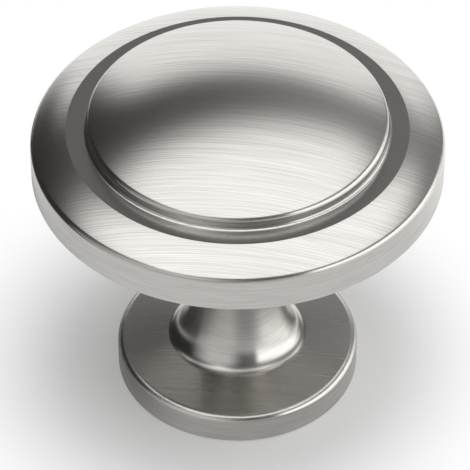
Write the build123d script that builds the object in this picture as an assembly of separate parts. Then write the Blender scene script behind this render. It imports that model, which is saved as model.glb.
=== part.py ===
from build123d import *
import os
from math import asin, atan, cos, degrees, radians, sin, tan

# Cabinet knob, cast and turned in one piece: a round base, a waisted stem and a stepped, domed head.
# Millimetres. The origin is the centre of the mounting face, and +Z runs along the axis to the dome.

# Base plate, whose top slopes up a little toward the stem
base_diameter = 19.4
base_thickness = 2.6
base_slope = 5.0
base_edge_round = 0.7
base_foot_chamfer = 0.12

# Stem, straight at its waist, with an elliptical flare at its foot and a round one at its neck
stem_length = 18.2
waist_diameter = 6.92
foot_flare_width = 2.2
foot_flare_height = 5.6
neck_flare_radius = 3.0

# Head: a rim with a crowned top, then a flat ledge, then a domed centre on a short wall
head_diameter = 32.0
rim_side_height = 3.0
rim_lower_chamfer = 0.1
rim_upper_chamfer = 0.25
crown_width = 2.78
crown_rise = 1.12
crown_radius = 13.6
ledge_width = 1.56
dome_wall_height = 0.99
dome_edge_chamfer = 0.25
dome_rise = 2.49

# Blind hole tapped M4, drawn at the thread's major diameter
screw_hole_diameter = 4.0
screw_hole_depth = 12.0
drill_point_angle = 118.0
mouth_chamfer = 0.5

# Radii and levels that follow from the sizes above
base_radius = base_diameter / 2
waist_radius = waist_diameter / 2
head_radius = head_diameter / 2
ledge_outer_radius = head_radius - crown_width
dome_radius = ledge_outer_radius - ledge_width
rim_bottom = base_thickness + stem_length
rim_top = rim_bottom + rim_side_height
ledge_level = rim_top + crown_rise
dome_edge_level = ledge_level + dome_wall_height
dome_top = dome_edge_level + dome_rise


def foot_flare():
    """Elliptical arc from the waist down to the base plate, ending along the slope of its top."""
    contact_angle = atan(foot_flare_width / foot_flare_height * tan(radians(base_slope)))
    centre_radius = waist_radius + foot_flare_width
    contact_radius = centre_radius - foot_flare_width * sin(contact_angle)
    contact_level = base_thickness + (base_radius - contact_radius) * tan(radians(base_slope))
    centre = (centre_radius, contact_level + foot_flare_height * cos(contact_angle))
    turn = 90 - degrees(contact_angle)
    return EllipticalCenterArc(centre, foot_flare_width, foot_flare_height, 180, arc_size=turn)


def neck_flare():
    """Quarter circle from the flat underside of the head down to the waist."""
    centre = (waist_radius + neck_flare_radius, rim_bottom - neck_flare_radius)
    return CenterArc(centre, neck_flare_radius, 90, 90)


def crown():
    """Convex top of the rim, from its outer edge in to the ledge."""
    return RadiusArc((head_radius, rim_top), (ledge_outer_radius, ledge_level), -crown_radius)


def dome():
    """Spherical cap from the top of its wall to the axis."""
    sphere_radius = (dome_radius**2 + dome_rise**2) / (2 * dome_rise)
    half_angle = degrees(asin(dome_radius / sphere_radius))
    return CenterArc((0, dome_top - sphere_radius), sphere_radius, 90 - half_angle, half_angle)


def corner(section, place):
    """Vertex of the section nearest to a place."""
    return section.vertices().sort_by_distance(place)[0]


def knob_section():
    """Half section of the knob without its screw hole, with radius along X and height along Y."""
    foot, neck, rim, cap = foot_flare(), neck_flare(), crown(), dome()
    base_foot = (base_radius, 0)
    base_edge = (base_radius, base_thickness)
    rim_lower_edge = (head_radius, rim_bottom)
    rim_upper_edge = (head_radius, rim_top)
    dome_edge = (dome_radius, dome_edge_level)
    edges = [
        Polyline((0, 0), base_foot, base_edge, foot @ 1),
        foot,
        Line(foot @ 0, neck @ 1),
        neck,
        Polyline(neck @ 0, rim_lower_edge, rim_upper_edge),
        rim,
        Polyline(rim @ 1, (dome_radius, ledge_level), dome_edge),
        cap,
        Line(cap @ 1, (0, 0)),
    ]
    section = make_face(edges)
    section = chamfer(corner(section, base_foot), base_foot_chamfer)
    section = chamfer(corner(section, rim_lower_edge), rim_lower_chamfer)
    section = fillet(corner(section, base_edge), base_edge_round)
    section = chamfer(corner(section, rim_upper_edge), rim_upper_chamfer)
    return chamfer(corner(section, dome_edge), dome_edge_chamfer)


def screw_hole():
    """Blind hole with a chamfered mouth and a drill point, open at the mounting face."""
    hole_radius = screw_hole_diameter / 2
    point_depth = hole_radius / tan(radians(drill_point_angle / 2))
    half_section = Polyline(
        (0, 0),
        (hole_radius + mouth_chamfer, 0),
        (hole_radius, mouth_chamfer),
        (hole_radius, screw_hole_depth),
        (0, screw_hole_depth + point_depth),
        close=True,
    )
    return revolve(Plane.XZ * make_face(half_section), Axis.Z)


knob = revolve(Plane.XZ * knob_section(), Axis.Z) - screw_hole()

os.makedirs("parts", exist_ok=True)
export_step(knob, "parts/knob.step")
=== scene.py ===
"""Cabinet knob in brushed nickel on a pale studio floor, laid out as an add-on and run as a script."""
from functools import partial
from math import atan2, ceil, cos, hypot, pi, radians, sin, sqrt, tan

import bpy
from bpy.props import FloatProperty, FloatVectorProperty, PointerProperty
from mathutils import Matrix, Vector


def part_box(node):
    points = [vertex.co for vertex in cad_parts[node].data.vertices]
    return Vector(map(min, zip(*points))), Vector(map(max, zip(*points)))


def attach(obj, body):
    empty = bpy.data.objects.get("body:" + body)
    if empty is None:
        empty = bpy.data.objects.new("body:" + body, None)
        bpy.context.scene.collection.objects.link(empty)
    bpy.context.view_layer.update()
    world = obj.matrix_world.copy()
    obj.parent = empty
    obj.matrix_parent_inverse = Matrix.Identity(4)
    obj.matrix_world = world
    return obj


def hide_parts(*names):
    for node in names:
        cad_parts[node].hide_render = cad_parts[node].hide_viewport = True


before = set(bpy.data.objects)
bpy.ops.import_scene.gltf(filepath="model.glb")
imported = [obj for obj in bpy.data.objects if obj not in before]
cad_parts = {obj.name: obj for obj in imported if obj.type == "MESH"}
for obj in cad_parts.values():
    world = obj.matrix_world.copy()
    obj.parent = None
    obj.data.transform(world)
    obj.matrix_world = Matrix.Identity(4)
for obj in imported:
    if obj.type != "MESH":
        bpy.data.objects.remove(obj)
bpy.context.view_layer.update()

bl_info = {
    "name": "Cabinet Knob",
    "version": (1, 0, 0),
    "blender": (4, 5, 0),
    "location": "3D View > Sidebar > Knob",
    "description": "Turns a brushed nickel cabinet knob, cuts its screw thread and sets a studio stage",
    "category": "Add Mesh",
}

MM = 0.001
BODY = "root"
NODE = "knob"
NODE_LOW, NODE_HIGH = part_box(NODE)

# How finely the body is turned
SPIN_STEPS = 288
ARC_STEP = radians(4)
TOP_STEP = radians(0.7)
SUPPORT_GAP = 0.04 * MM
CREASE_ANGLE = radians(12)
WELD_DISTANCE = 1e-7

# Screw thread: steps in a turn, depth in the wall, and half its width at root and crest in pitches
THREAD_STEPS = 64
THREAD_BITE = 0.02 * MM
HALF_ROOT = 7 / 16
HALF_CREST = 1 / 8

# Scratches of the brushing, in lines per metre along X, Y and Z, and how strongly each part shows them
STRAIGHT_GRAIN = (120, 14000, 300)
ROUND_GRAIN = (300, 300, 9000)
STEM_GRAIN = (300, 300, 6500)
STRAIGHT_CONTRAST = 1.0
ROUND_CONTRAST = 0.75
STEM_CONTRAST = 0.65
SCRATCH_RANGE = (0.26, 0.74)
SCRATCH_ROUGHNESS = 0.04
SCRATCH_BUMP = 0.05
SCRATCH_DEPTH = 0.05 * MM
QUARTER_TURN = 0.25

# Least upward part of a face's normal on the straight brushed tops
TOP_TILT = cos(radians(50))

# Upward part of the normal over which the stem's flare turns smoother
FLARE_TILT = (0.2, 0.6)

# Places of the colour sockets on a Mix node, whose names repeat
MIX_COLOURS = (6, 7)
MIX_COLOUR_RESULT = 2

# The photograph's camera, in the knob's frame
CAMERA_PLACE = (0.0, -0.1994, 0.2002)
CAMERA_PITCH = radians(43.12)
CAMERA_YAW = radians(-0.059)
CAMERA_LENS = 264.6
CAMERA_SENSOR = 36.0
CAMERA_NEAR = 10 * MM

# Stage floor, and how much shorter its shadow is at the right
FLOOR_SIZE = 6.0
FLOOR_GAP = 0.02 * MM
SHADOW_LEAN = 0.07

# Where the floor runs out to white for the camera, as edges in the form that zone reads
SHADOW_END = (("shadow", 12 * MM, 25 * MM, 0, 1),)

# Zones of painted shade on the floor, which only the metal's reflections show, with edges in the same form
PAINTED_SHADE_ZONES = {
    "far left": (("x", -60 * MM, -40 * MM, 1, 0), ("y", -45 * MM, -20 * MM, 0, 1)),
    "far front": (("y", -90 * MM, -44 * MM, 0.45, 0),),
    "under the head": (
        ("x", -18 * MM, -11 * MM, 1, 0), ("y", -9 * MM, -1 * MM, 0, 1),
        ("distance", 28 * MM, 33.5 * MM, 1, 0)),
    "left of the base": (
        ("x", -12 * MM, -3 * MM, 0.6, 0), ("y", -14 * MM, -5 * MM, 0.15, 1),
        ("distance", 20 * MM, 30 * MM, 1, 0)),
    "in front of the base": (
        ("x", -6 * MM, 4 * MM, 0, 1), ("distance", 11 * MM, 15 * MM, 0.15, 0.45),
        ("distance", 24 * MM, 32 * MM, 1, 0)),
}
# Zones of painted light on the floor, which only the metal's reflections show
PAINTED_LIGHT_ZONES = {
    "back right": (("back_right", 30 * MM, 75 * MM, 0, 1),),
    "far right": (("x", 48 * MM, 85 * MM, 0, 0.8),),
}
# A painted glow on the floor to the right of the base, which only the metal's reflections show, though no
# lamp is there
PAINTED_GLOW_ZONES = {
    "right of the base": (
        ("x", 9 * MM, 17 * MM, 0, 1), ("y", -20 * MM, -11 * MM, 0, 1), ("y", 4 * MM, 12 * MM, 1, 0),
        ("distance", 13 * MM, 18 * MM, 0, 1), ("distance", 26 * MM, 31 * MM, 1, 0)),
}

# Brightness of the painted shade, and of the painted glow as a share of the side panel's
PAINTED_SHADE_LEVEL = 0.06
PAINTED_GLOW_SHARE = 0.85

# Lights round the knob, with edges in the same form
SOFTBOX = (
    ("ceiling_y", 0.42, 0.90, 1, 0), ("ceiling_y", -1.05, -0.65, 0, 1),
    ("ceiling_x", -1.15, -0.45, 0, 1), ("ceiling_x", 0.56, 1.13, 1, 0), ("elevation", 0.1, 0.3, 0, 1))
SIDE_PANEL = (
    ("azimuth", radians(29), radians(42), 0, 1), ("azimuth", radians(106), radians(146), 1, 0),
    ("elevation", sin(radians(22)), sin(radians(36)), 1, 0))
BACKDROP = (
    ("over", radians(24), radians(36), 1, 0), ("across", sin(radians(-28)), sin(radians(-18)), 0, 1),
    ("across", sin(radians(20)), sin(radians(41)), 1, 0))
BOUNCE = (
    ("azimuth", radians(-98), radians(-45), 0, 1), ("azimuth", radians(-22), radians(12), 1, 0.2),
    ("elevation", sin(radians(24)), sin(radians(48)), 1, 0))
CORNER = (
    ("azimuth", radians(-155), radians(-136), 1, 0), ("elevation", sin(radians(6)), sin(radians(18)), 1, 0))

# Slant of the softbox on the ceiling, and the least rise at which a direction is carried up to it
SOFTBOX_SLANT = 0.30
LOWEST_RISE = 0.05

# Brightness of the dim room, which grows toward the right
ROOM = (("across", -0.3, 0.7, 0.03, 0.24),)


def length(name, description, default):
    """A size in metres, shown in the sidebar."""
    return FloatProperty(name=name, description=description, default=default, unit="LENGTH", precision=5)


def colour(name, description, default):
    """A linear colour, shown in the sidebar."""
    return FloatVectorProperty(
        name=name, description=description, default=default, subtype="COLOR", min=0, max=1)


def factor(name, description, default):
    """A share from 0 to 1, shown as a slider in the sidebar."""
    return FloatProperty(
        name=name, description=description, default=default, subtype="FACTOR", min=0, max=1)


def angle(name, description, default):
    """An angle, shown in degrees in the sidebar."""
    return FloatProperty(name=name, description=description, default=default, subtype="ANGLE")


def brightness(name, description, default):
    """A brightness at which 1 renders white."""
    return FloatProperty(name=name, description=description, default=default, min=0)


class KnobSizes(bpy.types.PropertyGroup):
    """Sizes of the turned body."""

    head_diameter: length("Head diameter", "Across the rim", NODE_HIGH.x - NODE_LOW.x)
    height: length("Height", "From the mounting face to the top of the dome", NODE_HIGH.z - NODE_LOW.z)
    base_diameter: length("Base diameter", "Across the base plate", 19.4 * MM)
    base_thickness: length("Base thickness", "Height of the base plate", 2.6 * MM)
    base_slope: angle("Base slope", "Slope of the base plate's top", radians(5))
    base_edge_round: length("Base edge round", "Radius on the upper edge of the base plate", 0.58 * MM)
    base_foot_chamfer: length("Base foot chamfer", "Chamfer on the lower edge of the base plate", 0.12 * MM)
    waist_diameter: length("Waist diameter", "The stem at its narrowest", 6.92 * MM)
    foot_flare_width: length("Foot flare width", "How far the stem flares out at the base plate", 2.2 * MM)
    foot_flare_height: length("Foot flare height", "From the base plate up to the straight waist", 5.6 * MM)
    neck_flare_radius: length("Neck flare radius", "Radius of the flare under the head", 3.0 * MM)
    rim_height: length("Rim height", "Straight side of the rim, edge to edge", 3.0 * MM)
    rim_lower_chamfer: length("Rim lower chamfer", "Chamfer on the lower edge of the rim", 0.1 * MM)
    rim_upper_round: length("Rim upper round", "Radius on the upper edge of the rim", 0.55 * MM)
    crown_width: length("Crown width", "From the rim's side in to the ledge", 2.78 * MM)
    crown_rise: length("Crown rise", "From the rim's upper edge to the ledge", 1.12 * MM)
    crown_radius: length("Crown radius", "Radius of the rim's convex top", 13.6 * MM)
    ledge_width: length("Ledge width", "From the crown in to the dome's wall", 1.56 * MM)
    ledge_fillet: length("Ledge fillet", "Radius at the foot of the dome's wall", 0.23 * MM)
    dome_wall: length("Dome wall", "Height of the wall round the dome, edge to edge", 0.99 * MM)
    dome_edge_round: length("Dome edge round", "Radius on the dome's edge", 0.52 * MM)
    dome_rise: length("Dome rise", "From the dome's edge to its top", 2.49 * MM)


class ScrewHole(bpy.types.PropertyGroup):
    """Sizes of the tapped hole in the base."""

    major_diameter: length("Major diameter", "Across the roots of the thread", 4.0 * MM)
    minor_diameter: length("Minor diameter", "Across the crests of the thread", 3.24 * MM)
    pitch: length("Pitch", "Rise of the thread in one turn", 0.7 * MM)
    depth: length("Depth", "From the mounting face to the end of the straight wall", 12.0 * MM)
    mouth_chamfer: length("Mouth chamfer", "Width of the chamfer at the mouth", 0.5 * MM)
    point_angle: angle("Point angle", "Full angle of the drill point", radians(118))


class NickelFinish(bpy.types.PropertyGroup):
    """Colours and brushing of the nickel."""

    light: colour("Light nickel", "Colour of the ridges between scratches", (0.63, 0.613, 0.588))
    dark: colour("Dark nickel", "Colour in the scratches", (0.49, 0.477, 0.452))
    head_roughness: factor("Head roughness", "Roughness of the straight brushing on the head", 0.22)
    head_stretch: factor("Head stretch", "How far the head's reflections spread across the scratches", 0.3)
    base_roughness: factor("Base roughness", "Roughness of the straight brushing on the base plate", 0.26)
    base_stretch: factor("Base stretch", "How far the base's reflections spread across the scratches", 0.2)
    side_roughness: factor("Side roughness", "Roughness of the brushing round the sides and edges", 0.2)
    side_stretch: factor("Side stretch", "How far the sides' reflections spread across the scratches", 0.6)
    stem_roughness: factor("Stem roughness", "Roughness of the brushing up the straight of the stem", 0.25)
    flare_roughness: factor("Flare roughness", "Roughness of the brushing low on the stem's flare", 0.2)
    stem_stretch: factor("Stem stretch", "How far the stem's reflections spread up and down", 0.7)
    brush_angle: angle("Brush angle", "Turn of the straight brushing from X", radians(-6))


class StageLook(bpy.types.PropertyGroup):
    """Floor and light of the stage."""

    floor: colour("Floor", "Colour of the pale floor", (0.96, 0.96, 0.96))
    softbox: brightness("Softbox", "Softbox overhead", 1.6)
    panel: brightness("Side panel", "Light panel at the right", 2.0)
    backdrop: brightness("Backdrop", "Lit backdrop as the metal reflects it", 1.3)
    bounce: brightness("Bounce", "Reflector at the front left as the metal reflects it", 0.8)
    corner: brightness("Corner", "Low glow at the back left as the metal reflects it", 0.6)
    fill: brightness("Fill", "Even light on the floor", 0.21)


def steps(start, end, count):
    """Evenly spaced values from one to another, ends included."""
    return [start + (end - start) * i / count for i in range(count + 1)]


def arc(centre, across, up, start, end, step=ARC_STEP):
    """Points of an elliptical arc in the section plane, from one angle to another."""
    count = max(2, ceil(abs(end - start) / step))
    return [(centre[0] + across * cos(a), centre[1] + up * sin(a)) for a in steps(start, end, count)]


def circle_through(outer, inner, radius):
    """Centre of the circle below and inside two points of a convex top."""
    half_chord = hypot(outer[0] - inner[0], outer[1] - inner[1]) / 2
    along = atan2(inner[1] - outer[1], inner[0] - outer[0])
    depth = sqrt(radius**2 - half_chord**2)
    middle = ((outer[0] + inner[0]) / 2, (outer[1] + inner[1]) / 2)
    return middle[0] - depth * sin(pi - along), middle[1] + depth * cos(along)


def edge_round(centre, radius, wall, edge):
    """Arc that rounds the corner where a convex top meets an upright wall, and the top's angle there."""
    out = wall - edge - centre[0]
    up = sqrt((radius - edge)**2 - out**2)
    contact = atan2(up, out)
    return arc((wall - edge, centre[1] + up), edge, edge, contact, 0), contact


def ledge_level(sizes):
    """Height of the ledge between the crown and the dome."""
    return sizes.height - sizes.dome_rise - sizes.dome_wall


def rim_bottom(sizes):
    """Height of the head's flat underside."""
    return ledge_level(sizes) - sizes.crown_rise - sizes.rim_height


def dome_points(sizes):
    """Dome from its top down over its rounded edge and wall to the ledge."""
    radius = sizes.head_diameter / 2 - sizes.crown_width - sizes.ledge_width
    sphere = (radius**2 + sizes.dome_rise**2) / (2 * sizes.dome_rise)
    centre = (0, sizes.height - sphere)
    edge, contact = edge_round(centre, sphere, radius, sizes.dome_edge_round)
    cap = arc(centre, sphere, sphere, pi / 2, contact, TOP_STEP)
    fillet = sizes.ledge_fillet
    foot = arc((radius + fillet, ledge_level(sizes) + fillet), fillet, fillet, pi, 1.5 * pi)
    return cap, edge, foot


def rim_points(sizes):
    """Crown of the rim, its rounded upper edge and its chamfered lower edge."""
    radius, bottom, chamfer = sizes.head_diameter / 2, rim_bottom(sizes), sizes.rim_lower_chamfer
    outer = (radius, bottom + sizes.rim_height)
    inner = (radius - sizes.crown_width, ledge_level(sizes))
    centre = circle_through(outer, inner, sizes.crown_radius)
    upper, contact = edge_round(centre, sizes.crown_radius, radius, sizes.rim_upper_round)
    start = atan2(inner[1] - centre[1], inner[0] - centre[0])
    crown = arc(centre, sizes.crown_radius, sizes.crown_radius, start, contact, TOP_STEP)
    return crown, upper, [(radius, bottom + chamfer), (radius - chamfer, bottom)]


def neck_flare(sizes):
    """Quarter circle from the head's underside down to the straight waist."""
    radius = sizes.neck_flare_radius
    centre = (sizes.waist_diameter / 2 + radius, rim_bottom(sizes) - radius)
    return arc(centre, radius, radius, pi / 2, pi)


def foot_flare(sizes):
    """Elliptical arc from the straight waist down to the base plate, ending along the slope of its top."""
    wide, tall, rise = sizes.foot_flare_width, sizes.foot_flare_height, tan(sizes.base_slope)
    contact = atan2(wide * rise, tall)
    centre = sizes.waist_diameter / 2 + wide
    foot = centre - wide * sin(contact)
    level = sizes.base_thickness + (sizes.base_diameter / 2 - foot) * rise + tall * cos(contact)
    return arc((centre, level), wide, tall, pi, 1.5 * pi - contact)


def base_points(sizes):
    """Rounded upper edge and chamfered lower edge of the base plate."""
    radius, slope = sizes.base_diameter / 2, sizes.base_slope
    edge, chamfer = sizes.base_edge_round, sizes.base_foot_chamfer
    level = sizes.base_thickness - edge * (1 - sin(slope)) / cos(slope)
    upper = arc((radius - edge, level), edge, edge, pi / 2 - slope, 0)
    return upper, [(radius, chamfer), (radius - chamfer, 0)]


def hole_points(hole):
    """Tapped hole from its chamfered mouth up to its drill point."""
    radius = hole.major_diameter / 2
    point = radius / tan(hole.point_angle / 2)
    mouth = [(radius + hole.mouth_chamfer, 0), (radius, hole.mouth_chamfer)]
    return mouth, [(radius, hole.depth), (0, hole.depth + point)]


def section(sizes, hole):
    """Outline of the knob's half section from the top of the dome down and into the hole."""
    stem = neck_flare(sizes), foot_flare(sizes)
    stretches = [*dome_points(sizes), *rim_points(sizes), *stem, *base_points(sizes), *hole_points(hole)]
    outline = list(stretches[0])
    for stretch in stretches[1:]:
        outline += supports(outline[-1], stretch[0])
        outline += stretch
    return without_repeats(outline)


def supports(start, end):
    """Points just inside both ends of a straight stretch, which keep its shading flat."""
    run = hypot(end[0] - start[0], end[1] - start[1])
    if run < 3 * SUPPORT_GAP:
        return []
    share = SUPPORT_GAP / run
    return [tuple(a + (b - a) * t for a, b in zip(start, end)) for t in (share, 1 - share)]


def without_repeats(outline):
    """The outline with each point that repeats the one before it left out."""
    kept = [outline[0]]
    for point in outline[1:]:
        if hypot(point[0] - kept[-1][0], point[1] - kept[-1][1]) > WELD_DISTANCE:
            kept.append(point)
    return kept


def start_vertex(place):
    """Begin a mesh as a single vertex, in edit mode."""
    bpy.ops.object.select_all(action="DESELECT")
    bpy.ops.mesh.primitive_plane_add(size=MM, enter_editmode=True)
    bpy.ops.mesh.select_mode(type="VERT")
    bpy.ops.mesh.select_all(action="SELECT")
    bpy.ops.mesh.merge(type="CENTER")
    bpy.ops.transform.translate(value=place)
    return bpy.context.object


def draw_on(places):
    """Extrude the selected vertex from each place to the next."""
    for last, place in zip(places, places[1:]):
        step = [b - a for a, b in zip(last, place)]
        bpy.ops.mesh.extrude_region_move(TRANSFORM_OT_translate={"value": step})


def finish_piece(piece, name, *materials):
    """Name a piece, give it its materials and put it on the knob's body."""
    if not piece.data.polygons:
        raise RuntimeError(f"{name} came out without faces")
    piece.name = name
    piece.data.name = name
    for material in materials:
        piece.data.materials.append(material)
    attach(piece, BODY)


def select_faces(piece, chosen):
    """Select, in edit mode, the faces whose centre and normal pass a test."""
    bpy.ops.object.mode_set(mode="EDIT")
    bpy.ops.mesh.select_mode(type="FACE")
    bpy.ops.mesh.select_all(action="DESELECT")
    bpy.ops.object.mode_set(mode="OBJECT")
    for face in piece.data.polygons:
        face.select = chosen(face.center, face.normal)
    bpy.ops.object.mode_set(mode="EDIT")


def add_node(tree, kind, **settings):
    """Add a node and set its properties and inputs by name."""
    node = tree.nodes.new(kind)
    for name, value in settings.items():
        if hasattr(node, name):
            setattr(node, name, value)
        else:
            node.inputs[name.replace("_", " ")].default_value = value
    return node


def ramp(tree, source, low, high, at_low, at_high):
    """Ease a value from one level to another over a range of the source."""
    node = add_node(tree, "ShaderNodeMapRange", interpolation_type="SMOOTHSTEP")
    tree.links.new(source, node.inputs["Value"])
    for key, value in zip(("From Min", "From Max", "To Min", "To Max"), (low, high, at_low, at_high)):
        node.inputs[key].default_value = value
    return node.outputs["Result"]


def combine(tree, operation, *sources):
    """Join values one after another with a maths operation."""
    joined = sources[0]
    for source in sources[1:]:
        node = add_node(tree, "ShaderNodeMath", operation=operation)
        tree.links.new(joined, node.inputs[0])
        tree.links.new(source, node.inputs[1])
        joined = node.outputs["Value"]
    return joined


def number(tree, value):
    """A plain number as a node."""
    node = add_node(tree, "ShaderNodeValue")
    node.outputs[0].default_value = value
    return node.outputs[0]


def coordinates(tree, kind):
    """X, Y and Z of one kind of texture coordinates."""
    place = add_node(tree, "ShaderNodeTexCoord")
    parts = add_node(tree, "ShaderNodeSeparateXYZ")
    tree.links.new(place.outputs[kind], parts.inputs["Vector"])
    return parts.outputs


def from_axis(tree, x, y):
    """Distance from the knob's axis."""
    squares = combine(tree, "ADD", combine(tree, "MULTIPLY", x, x), combine(tree, "MULTIPLY", y, y))
    return combine(tree, "POWER", squares, number(tree, 0.5))


def zone(tree, measures, edges):
    """Share of a floor zone or a light: the product of its edges.

    An edge is a measure's name, two values of the measure, and the share at each of the two.
    """
    return combine(tree, "MULTIPLY", *(ramp(tree, measures[name], *fade) for name, *fade in edges))


def any_zone(tree, measures, zones):
    """Greatest share of several floor zones."""
    return combine(tree, "MAXIMUM", *(zone(tree, measures, edges) for edges in zones.values()))


def emission(tree, level):
    """White glow at a brightness."""
    return add_node(tree, "ShaderNodeEmission", Strength=level).outputs["Emission"]


def layer(tree, share, below, above):
    """Lay one shader over another by a share."""
    mix = add_node(tree, "ShaderNodeMixShader")
    for source, target in zip((share, below, above), mix.inputs):
        tree.links.new(source, target)
    return mix.outputs["Shader"]


def choose(tree, share, low, high):
    """Pass on one value where the share is 0 and another where it is 1."""
    node = add_node(tree, "ShaderNodeMix", data_type="FLOAT")
    tree.links.new(share, node.inputs["Factor"])
    tree.links.new(low, node.inputs["A"])
    tree.links.new(high, node.inputs["B"])
    return node.outputs["Result"]


def along_brush(tree, turn):
    """Object coordinates turned so that X runs along the straight brushing."""
    place = add_node(tree, "ShaderNodeTexCoord")
    turned = add_node(tree, "ShaderNodeVectorRotate", rotation_type="Z_AXIS", Angle=-turn)
    tree.links.new(place.outputs["Object"], turned.inputs["Vector"])
    return turned.outputs["Vector"]


def round_axis(tree):
    """Object coordinates whose Z also falls with the radius, so that flats get scratches in rings."""
    x, y, z = coordinates(tree, "Object")
    depth = combine(tree, "SUBTRACT", z, from_axis(tree, x, y))
    rings = add_node(tree, "ShaderNodeCombineXYZ")
    for source, target in zip((x, y, depth), rings.inputs):
        tree.links.new(source, target)
    return rings.outputs["Vector"]


def brushed_nickel(name, finish, lines, grain, roughness, stretch, contrast):
    """Nickel with fine scratches: grain scales the coordinates that lines gives, in scratches per metre."""
    material = bpy.data.materials.new(name)
    material.use_nodes = True
    tree = material.node_tree
    shader = tree.nodes["Principled BSDF"]
    link = tree.links.new
    mapping = add_node(tree, "ShaderNodeMapping", Scale=grain)
    link(lines(tree), mapping.inputs["Vector"])
    scratches = add_node(tree, "ShaderNodeTexNoise", Scale=1.0, Detail=2.0, Roughness=0.6)
    link(mapping.outputs["Vector"], scratches.inputs["Vector"])
    tint = add_node(tree, "ShaderNodeMix", data_type="RGBA")
    for place, shade in zip(MIX_COLOURS, (finish.dark, finish.light)):
        tint.inputs[place].default_value = (*shade, 1)
    faint, full = 0.5 - contrast / 2, 0.5 + contrast / 2
    link(ramp(tree, scratches.outputs["Fac"], *SCRATCH_RANGE, faint, full), tint.inputs["Factor"])
    link(tint.outputs[MIX_COLOUR_RESULT], shader.inputs["Base Color"])
    gloss = add_node(tree, "ShaderNodeMapRange")
    gloss.inputs["To Min"].default_value = roughness + SCRATCH_ROUGHNESS * contrast
    gloss.inputs["To Max"].default_value = roughness - SCRATCH_ROUGHNESS * contrast
    link(scratches.outputs["Fac"], gloss.inputs["Value"])
    link(gloss.outputs["Result"], shader.inputs["Roughness"])
    bump = add_node(tree, "ShaderNodeBump", Strength=SCRATCH_BUMP * contrast, Distance=SCRATCH_DEPTH)
    link(scratches.outputs["Fac"], bump.inputs["Height"])
    link(bump.outputs["Normal"], shader.inputs["Normal"])
    shader.inputs["Metallic"].default_value = 1.0
    shader.inputs["Anisotropic"].default_value = stretch
    return material


def round_nickel(name, finish, roughness, stretch, grain=ROUND_GRAIN, contrast=ROUND_CONTRAST):
    """Nickel brushed round the axis, whose reflections spread up and down."""
    material = brushed_nickel(name, finish, round_axis, grain, roughness, stretch, contrast)
    tree = material.node_tree
    shader = tree.nodes["Principled BSDF"]
    tangent = add_node(tree, "ShaderNodeTangent", direction_type="RADIAL", axis="Z")
    tree.links.new(tangent.outputs["Tangent"], shader.inputs["Tangent"])
    shader.inputs["Anisotropic Rotation"].default_value = QUARTER_TURN
    return material


def stem_nickel(finish):
    """Nickel brushed round the stem, smoother where the flare turns up to the base plate."""
    roughness, stretch = finish.stem_roughness, finish.stem_stretch
    material = round_nickel("nickel_stem", finish, roughness, stretch, STEM_GRAIN, STEM_CONTRAST)
    tree = material.node_tree
    tilt = coordinates(tree, "Normal")["Z"]
    smoothing = ramp(tree, tilt, *FLARE_TILT, 0, roughness - finish.flare_roughness)
    rough = tree.nodes["Principled BSDF"].inputs["Roughness"]
    tree.links.new(combine(tree, "SUBTRACT", rough.links[0].from_socket, smoothing), rough)
    return material


def straight_nickel(name, finish, roughness, stretch):
    """Nickel brushed straight across, whose reflections spread from back to front."""
    turn = finish.brush_angle
    lines = partial(along_brush, turn=turn)
    material = brushed_nickel(name, finish, lines, STRAIGHT_GRAIN, roughness, stretch, STRAIGHT_CONTRAST)
    tree = material.node_tree
    across = add_node(tree, "ShaderNodeCombineXYZ", X=-sin(turn), Y=cos(turn), Z=0.0)
    tree.links.new(across.outputs["Vector"], tree.nodes["Principled BSDF"].inputs["Tangent"])
    return material


class KNOB_OT_body(bpy.types.Operator):
    """Turn the knob's body from its half section"""

    bl_idname = "knob.body"
    bl_label = "Turn Body"

    def execute(self, context):
        scene = context.scene
        sizes = scene.knob_sizes
        outline = section(sizes, scene.knob_screw_hole)
        places = [(radius, 0, level) for radius, level in outline]
        body = start_vertex(places[0])
        draw_on(places)
        bpy.ops.mesh.select_all(action="SELECT")
        bpy.ops.mesh.spin(steps=SPIN_STEPS, angle=2 * pi, center=(0, 0, 0), axis=(0, 0, 1))
        bpy.ops.mesh.select_all(action="SELECT")
        bpy.ops.mesh.remove_doubles(threshold=WELD_DISTANCE)
        bpy.ops.mesh.dissolve_degenerate(threshold=WELD_DISTANCE)
        bpy.ops.mesh.select_all(action="SELECT")
        bpy.ops.mesh.normals_make_consistent(inside=False)
        bpy.ops.object.mode_set(mode="OBJECT")
        self.brush(body, sizes, scene.knob_finish)
        bpy.ops.object.shade_smooth_by_angle(angle=CREASE_ANGLE)
        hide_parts(NODE)
        return {"FINISHED"}

    def brush(self, body, sizes, finish):
        """Brush the sides and stem round the axis, and the tops of the head and base straight across."""
        finish_piece(
            body, "knob_body",
            round_nickel("nickel_sides", finish, finish.side_roughness, finish.side_stretch),
            straight_nickel("nickel_head", finish, finish.head_roughness, finish.head_stretch),
            straight_nickel("nickel_base", finish, finish.base_roughness, finish.base_stretch),
            stem_nickel(finish))
        underside = rim_bottom(sizes)
        head_edge = underside + sizes.rim_height - sizes.rim_upper_round
        stem_foot = foot_flare(sizes)[-1][1]

        def on_head(centre, normal):
            return centre.z > head_edge and normal.z > TOP_TILT

        def on_base(centre, normal):
            return centre.z < stem_foot and normal.z > TOP_TILT

        def on_stem(centre, normal):
            return stem_foot < centre.z < underside and centre.xy.length < sizes.base_diameter / 2

        for slot, test in enumerate((on_head, on_base, on_stem), start=1):
            select_faces(body, test)
            body.active_material_index = slot
            bpy.ops.object.material_slot_assign()
            bpy.ops.object.mode_set(mode="OBJECT")


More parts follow.
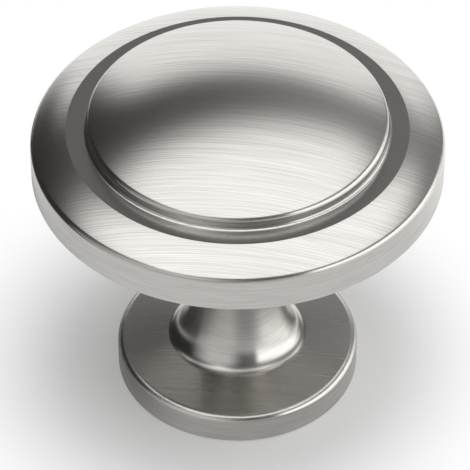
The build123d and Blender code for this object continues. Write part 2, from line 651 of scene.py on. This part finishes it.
class KNOB_OT_thread(bpy.types.Operator):
    """Cut the screw thread in the hole"""

    bl_idname = "knob.thread"
    bl_label = "Cut Thread"

    def execute(self, context):
        hole = context.scene.knob_screw_hole
        corners = self.ridge(hole)
        thread = start_vertex(corners[0])
        draw_on(corners)
        bpy.ops.mesh.select_all(action="SELECT")
        bpy.ops.mesh.edge_face_add()
        bpy.ops.mesh.delete(type="ONLY_FACE")
        bpy.ops.object.mode_set(mode="OBJECT")
        self.wind(thread, hole.pitch, int((hole.depth - corners[-1][2]) / hole.pitch))
        bpy.ops.object.mode_set(mode="EDIT")
        bpy.ops.mesh.select_all(action="SELECT")
        bpy.ops.mesh.fill_holes(sides=len(corners))
        bpy.ops.mesh.select_all(action="SELECT")
        bpy.ops.mesh.normals_make_consistent(inside=False)
        bpy.ops.object.mode_set(mode="OBJECT")
        bpy.ops.object.shade_smooth_by_angle(angle=CREASE_ANGLE)
        finish = context.scene.knob_finish
        finish_piece(
            thread, "screw_thread",
            round_nickel("nickel_thread", finish, finish.side_roughness, finish.side_stretch))
        return {"FINISHED"}

    def ridge(self, hole):
        """Corners of the thread's section at the hole's mouth, from the lowest to the highest."""
        root, half_root = hole.major_diameter / 2 + THREAD_BITE, hole.pitch * HALF_ROOT
        crest, half_crest = hole.minor_diameter / 2, hole.pitch * HALF_CREST
        middle = hole.mouth_chamfer + half_root
        corners = [(root, -half_root), (crest, -half_crest), (crest, half_crest), (root, half_root)]
        return [(radius, 0, middle + level) for radius, level in corners]

    def wind(self, thread, pitch, turns):
        """Wind the thread's section up the hole."""
        bpy.ops.object.modifier_add(type="SCREW")
        screw = thread.modifiers[-1]
        screw.screw_offset = pitch
        screw.iterations = turns
        screw.steps = screw.render_steps = THREAD_STEPS
        bpy.ops.object.modifier_apply(modifier=screw.name)


class KNOB_OT_stage(bpy.types.Operator):
    """Lay the floor, hang the lights and set the camera"""

    bl_idname = "knob.stage"
    bl_label = "Set Stage"

    def execute(self, context):
        look = context.scene.knob_stage
        self.floor(look, context.scene.knob_sizes.base_diameter / 2)
        self.surroundings(context.scene, look)
        self.camera(context.scene)
        context.scene.view_settings.view_transform = "Standard"
        return {"FINISHED"}

    def floor(self, look, base_radius):
        """Wide pale floor, a hair under the mounting face."""
        bpy.ops.object.select_all(action="DESELECT")
        bpy.ops.mesh.primitive_plane_add(size=FLOOR_SIZE, enter_editmode=True)
        bpy.ops.transform.translate(value=(0, 0, -FLOOR_GAP))
        bpy.ops.object.mode_set(mode="OBJECT")
        floor = bpy.context.object
        floor.name = "stage_floor"
        floor.data.materials.append(self.floor_material(look, base_radius))

    def floor_material(self, look, base_radius):
        """Matt white that keeps the knob's shadow, runs out to white and shows the metal painted shade,
        painted light and a painted glow.
        """
        material = bpy.data.materials.new("pale_floor")
        material.use_nodes = True
        tree = material.node_tree
        shader = tree.nodes["Principled BSDF"]
        shader.inputs["Base Color"].default_value = (*look.floor, 1)
        shader.inputs["Roughness"].default_value = 1.0
        shader.inputs["Specular IOR Level"].default_value = 0.0
        path = add_node(tree, "ShaderNodeLightPath")
        to_camera, to_metal = path.outputs["Is Camera Ray"], path.outputs["Is Glossy Ray"]
        measures = self.floor_measures(tree)
        under_base = ramp(tree, measures["distance"], base_radius - FLOOR_GAP, base_radius, 1, 0)
        clear = add_node(tree, "ShaderNodeBsdfTransparent").outputs["BSDF"]
        layers = (
            (to_camera, zone(tree, measures, SHADOW_END), emission(tree, 1)),
            # For the metal's reflections only: painted shade, painted light, a painted glow, and clear
            # floor under the base
            (to_metal, any_zone(tree, measures, PAINTED_SHADE_ZONES), emission(tree, PAINTED_SHADE_LEVEL)),
            (to_metal, any_zone(tree, measures, PAINTED_LIGHT_ZONES), emission(tree, look.backdrop)),
            (to_metal, any_zone(tree, measures, PAINTED_GLOW_ZONES), emission(tree, PAINTED_GLOW_SHARE * look.panel)),
            (to_metal, under_base, clear),
        )
        surface = shader.outputs["BSDF"]
        for ray, share, above in layers:
            surface = layer(tree, combine(tree, "MULTIPLY", ray, share), surface, above)
        backfacing = add_node(tree, "ShaderNodeNewGeometry").outputs["Backfacing"]
        surface = layer(tree, backfacing, surface, clear)
        tree.links.new(surface, tree.nodes["Material Output"].inputs["Surface"])
        return material

    def floor_measures(self, tree):
        """What the floor's zones are measured along, with X to the right and Y to the back."""
        x, y, _ = coordinates(tree, "Object")
        distance = from_axis(tree, x, y)
        lean = combine(tree, "MULTIPLY", x, number(tree, SHADOW_LEAN))
        return {
            "x": x,
            "y": y,
            "distance": distance,
            "back_right": combine(tree, "ADD", x, y),
            "shadow": combine(tree, "ADD", distance, lean),
        }

    def surroundings(self, scene, look):
        """White to the camera; to the metal and the floor a soft studio of lights in a dim room."""
        world = bpy.data.worlds.new("studio")
        scene.world = world
        world.use_nodes = True
        tree = world.node_tree
        measures = self.light_measures(tree)

        def light(edges, level):
            return combine(tree, "MULTIPLY", zone(tree, measures, edges), number(tree, level))

        softbox = light(SOFTBOX, look.softbox)
        panel = light(SIDE_PANEL, look.panel)
        backdrop = light(BACKDROP, look.backdrop)
        bounce = light(BOUNCE, look.bounce)
        corner = light(CORNER, look.corner)
        room = zone(tree, measures, ROOM)
        reflected = combine(tree, "MAXIMUM", softbox, panel, backdrop, bounce, corner, room)
        shed = combine(tree, "MAXIMUM", softbox, panel, number(tree, look.fill))
        path = add_node(tree, "ShaderNodeLightPath")
        unseen = choose(tree, path.outputs["Is Diffuse Ray"], reflected, shed)
        strength = choose(tree, path.outputs["Is Camera Ray"], unseen, number(tree, 1))
        background = tree.nodes["Background"]
        background.inputs["Color"].default_value = (1, 1, 1, 1)
        tree.links.new(strength, background.inputs["Strength"])

    def light_measures(self, tree):
        """What the lights are measured along.

        Azimuth turns from the front to the right, and over turns up from the back. Across and elevation are
        the sines of the angles to the right and above the floor. The ceiling is a level plane one unit up.
        """
        across, along, up = coordinates(tree, "Generated")
        forward = combine(tree, "MULTIPLY", along, number(tree, -1))
        rise = combine(tree, "MAXIMUM", up, number(tree, LOWEST_RISE))
        ceiling_x = combine(tree, "DIVIDE", across, rise)
        ceiling_y = combine(tree, "DIVIDE", along, rise)
        slant = combine(tree, "MULTIPLY", ceiling_x, number(tree, SOFTBOX_SLANT))
        return {
            "across": across,
            "elevation": up,
            "azimuth": combine(tree, "ARCTAN2", across, forward),
            "over": combine(tree, "ARCTAN2", up, along),
            "ceiling_x": ceiling_x,
            "ceiling_y": combine(tree, "SUBTRACT", ceiling_y, slant),
        }

    def camera(self, scene):
        """Camera at the photograph's viewing angle."""
        turn = (pi / 2 - CAMERA_PITCH, 0, -CAMERA_YAW)
        bpy.ops.object.camera_add(location=CAMERA_PLACE, rotation=turn)
        camera = bpy.context.object
        camera.name = "photo_camera"
        camera.data.lens = CAMERA_LENS
        camera.data.sensor_width = CAMERA_SENSOR
        camera.data.clip_start = CAMERA_NEAR
        scene.camera = camera


class KNOB_PT_sidebar(bpy.types.Panel):
    """Lists the knob's steps, each with its settings"""

    bl_idname = "KNOB_PT_sidebar"
    bl_label = "Cabinet Knob"
    bl_space_type = "VIEW_3D"
    bl_region_type = "UI"
    bl_category = "Knob"

    def draw(self, context):
        for operator, groups in STEPS:
            box = self.layout.box()
            box.operator(operator.bl_idname)
            for group in groups:
                for setting in SETTINGS[group].__annotations__:
                    box.prop(getattr(context.scene, group), setting)


CLASSES = (
    KnobSizes, ScrewHole, NickelFinish, StageLook,
    KNOB_OT_body, KNOB_OT_thread, KNOB_OT_stage, KNOB_PT_sidebar,
)
STEPS = (
    (KNOB_OT_body, ("knob_sizes", "knob_finish")),
    (KNOB_OT_thread, ("knob_screw_hole",)),
    (KNOB_OT_stage, ("knob_stage",)),
)
SETTINGS = {
    "knob_sizes": KnobSizes,
    "knob_screw_hole": ScrewHole,
    "knob_finish": NickelFinish,
    "knob_stage": StageLook,
}


def register():
    for cls in CLASSES:
        bpy.utils.register_class(cls)
    for name, group in SETTINGS.items():
        setattr(bpy.types.Scene, name, PointerProperty(type=group))


def unregister():
    for name in SETTINGS:
        delattr(bpy.types.Scene, name)
    for cls in reversed(CLASSES):
        bpy.utils.unregister_class(cls)


def main():
    register()
    bpy.ops.knob.body()
    bpy.ops.knob.thread()
    bpy.ops.knob.stage()


if __name__ == "__main__":
    main()
